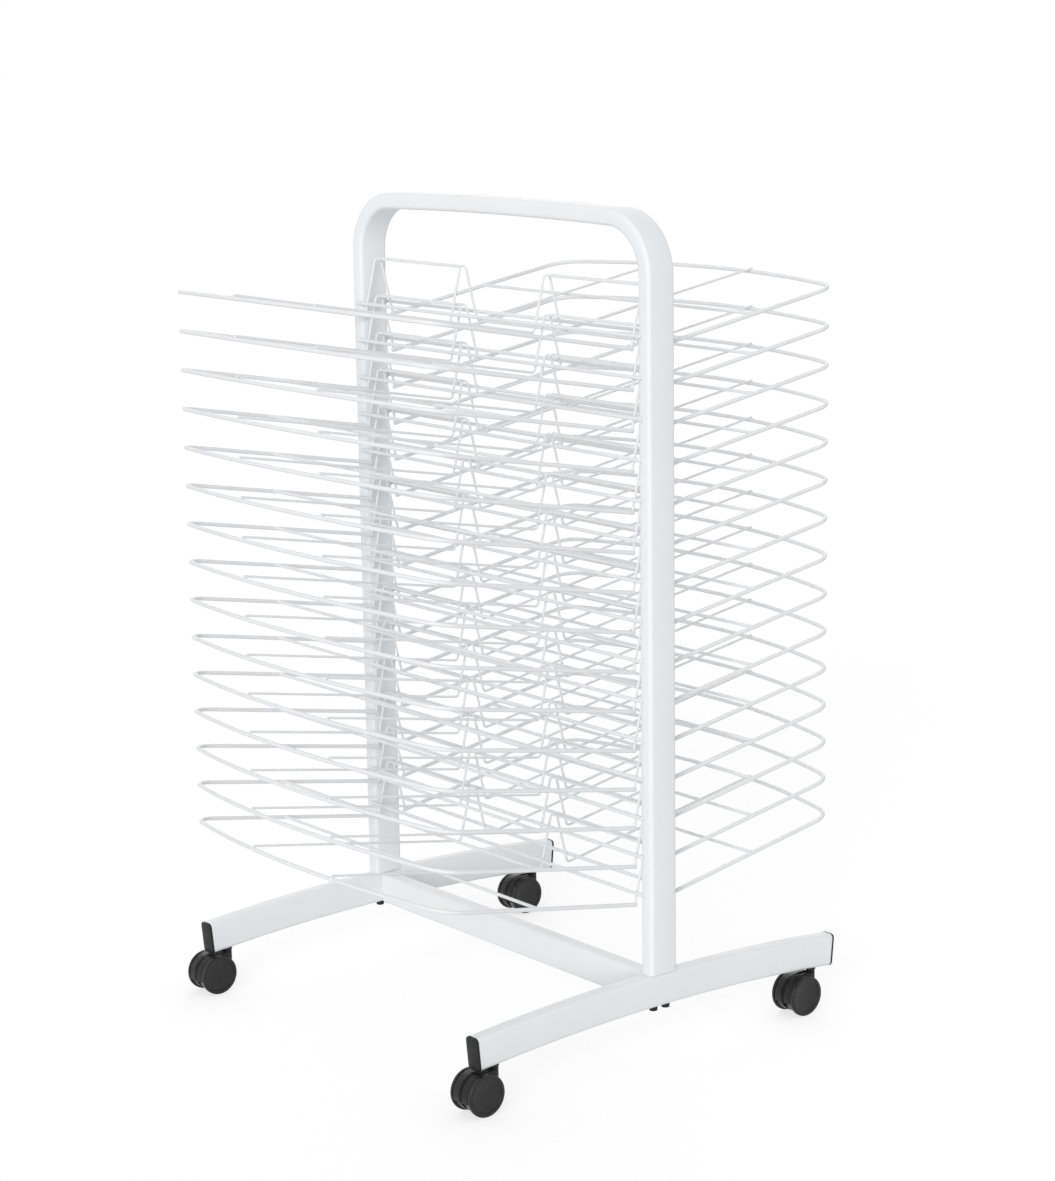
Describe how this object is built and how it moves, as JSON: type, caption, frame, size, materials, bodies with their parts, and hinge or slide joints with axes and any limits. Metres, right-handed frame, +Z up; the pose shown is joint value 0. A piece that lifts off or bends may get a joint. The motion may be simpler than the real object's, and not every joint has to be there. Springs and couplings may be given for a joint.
{
  "type": "art drying rack",
  "caption": "Mobile drying rack: a hooped tube frame on casters carries a stack of tilted wire trays on both sides for wet paintings.",
  "frame": {"origin": "on the floor, under the middle of the hoop", "axes": "+Z up, X across the hoop from the back upright to the front one, Y from the left trays to the right ones"},
  "size_m": [0.5882, 0.6716, 1],
  "materials": {
    "white_tube": "smooth white powder coat",
    "white_wire": "white powder coat on round wire",
    "black_cap": "moulded black end plugs",
    "hood_plastic": "satin black moulding",
    "wheel_nylon": "hard black nylon",
    "black_steel": "blackened stem",
    "black_screw": "black oxide",
    "bright_steel": "plain axle pin"
  },
  "bodies": {
    "rack": {"caster_stems": "black_steel", "crossbar": "white_tube", "foot_back": "white_tube", "foot_end_caps": "black_cap", "foot_front": "white_tube", "foot_screws": "black_screw", "hoop_frame": "white_tube", "paper_stops_left_back": "white_wire", "paper_stops_left_front": "white_wire", "paper_stops_right_back": "white_wire", "paper_stops_right_front": "white_wire", "support_rods_left": "white_wire", "support_rods_right": "white_wire", "tray_left_01": "white_wire", "tray_left_02": "white_wire", "tray_left_03": "white_wire", "tray_left_04": "white_wire", "tray_left_05": "white_wire", "tray_left_06": "white_wire", "tray_left_07": "white_wire", "tray_left_08": "white_wire", "tray_left_09": "white_wire", "tray_left_10": "white_wire", "tray_left_11": "white_wire", "tray_left_12": "white_wire", "tray_left_13": "white_wire", "tray_left_14": "white_wire", "tray_left_15": "white_wire", "tray_right_01": "white_wire", "tray_right_02": "white_wire", "tray_right_03": "white_wire", "tray_right_04": "white_wire", "tray_right_05": "white_wire", "tray_right_06": "white_wire", "tray_right_07": "white_wire", "tray_right_08": "white_wire", "tray_right_09": "white_wire", "tray_right_10": "white_wire", "tray_right_11": "white_wire", "tray_right_12": "white_wire", "tray_right_13": "white_wire", "tray_right_14": "white_wire", "tray_right_15": "white_wire"},
    "caster_front_left": {"caster_front_left_hood": "hood_plastic", "caster_front_left_axle": "bright_steel"},
    "caster_front_left_wheel_front": {"caster_front_left_wheel_front": "wheel_nylon"},
    "caster_front_left_wheel_back": {"caster_front_left_wheel_back": "wheel_nylon"},
    "caster_front_right": {"caster_front_right_hood": "hood_plastic", "caster_front_right_axle": "bright_steel"},
    "caster_front_right_wheel_front": {"caster_front_right_wheel_front": "wheel_nylon"},
    "caster_front_right_wheel_back": {"caster_front_right_wheel_back": "wheel_nylon"},
    "caster_back_left": {"caster_back_left_hood": "hood_plastic", "caster_back_left_axle": "bright_steel"},
    "caster_back_left_wheel_front": {"caster_back_left_wheel_front": "wheel_nylon"},
    "caster_back_left_wheel_back": {"caster_back_left_wheel_back": "wheel_nylon"},
    "caster_back_right": {"caster_back_right_hood": "hood_plastic", "caster_back_right_axle": "bright_steel"},
    "caster_back_right_wheel_front": {"caster_back_right_wheel_front": "wheel_nylon"},
    "caster_back_right_wheel_back": {"caster_back_right_wheel_back": "wheel_nylon"}
  },
  "joints": [
    {"name": "caster_front_left_swivel", "type": "hinge", "parent": "rack", "child": "caster_front_left", "pos_m": [0.2756, -0.2494, 0.05], "axis": [0, 0, 1], "continuous": true},
    {"name": "caster_front_left_wheel_front_roll", "type": "hinge", "parent": "caster_front_left", "child": "caster_front_left_wheel_front", "pos_m": [0.2756, -0.2729, 0.025], "axis": [1, 0, 0], "continuous": true},
    {"name": "caster_front_left_wheel_back_roll", "type": "hinge", "parent": "caster_front_left", "child": "caster_front_left_wheel_back", "pos_m": [0.2756, -0.2729, 0.025], "axis": [1, 0, 0], "continuous": true},
    {"name": "caster_front_right_swivel", "type": "hinge", "parent": "rack", "child": "caster_front_right", "pos_m": [0.2756, 0.2494, 0.05], "axis": [0, 0, 1], "continuous": true},
    {"name": "caster_front_right_wheel_front_roll", "type": "hinge", "parent": "caster_front_right", "child": "caster_front_right_wheel_front", "pos_m": [0.2756, 0.2259, 0.025], "axis": [1, 0, 0], "continuous": true},
    {"name": "caster_front_right_wheel_back_roll", "type": "hinge", "parent": "caster_front_right", "child": "caster_front_right_wheel_back", "pos_m": [0.2756, 0.2259, 0.025], "axis": [1, 0, 0], "continuous": true},
    {"name": "caster_back_left_swivel", "type": "hinge", "parent": "rack", "child": "caster_back_left", "pos_m": [-0.2756, -0.2494, 0.05], "axis": [0, 0, 1], "continuous": true},
    {"name": "caster_back_left_wheel_front_roll", "type": "hinge", "parent": "caster_back_left", "child": "caster_back_left_wheel_front", "pos_m": [-0.2756, -0.2729, 0.025], "axis": [1, 0, 0], "continuous": true},
    {"name": "caster_back_left_wheel_back_roll", "type": "hinge", "parent": "caster_back_left", "child": "caster_back_left_wheel_back", "pos_m": [-0.2756, -0.2729, 0.025], "axis": [1, 0, 0], "continuous": true},
    {"name": "caster_back_right_swivel", "type": "hinge", "parent": "rack", "child": "caster_back_right", "pos_m": [-0.2756, 0.2494, 0.05], "axis": [0, 0, 1], "continuous": true},
    {"name": "caster_back_right_wheel_front_roll", "type": "hinge", "parent": "caster_back_right", "child": "caster_back_right_wheel_front", "pos_m": [-0.2756, 0.2259, 0.025], "axis": [1, 0, 0], "continuous": true},
    {"name": "caster_back_right_wheel_back_roll", "type": "hinge", "parent": "caster_back_right", "child": "caster_back_right_wheel_back", "pos_m": [-0.2756, 0.2259, 0.025], "axis": [1, 0, 0], "continuous": true}
  ]
}
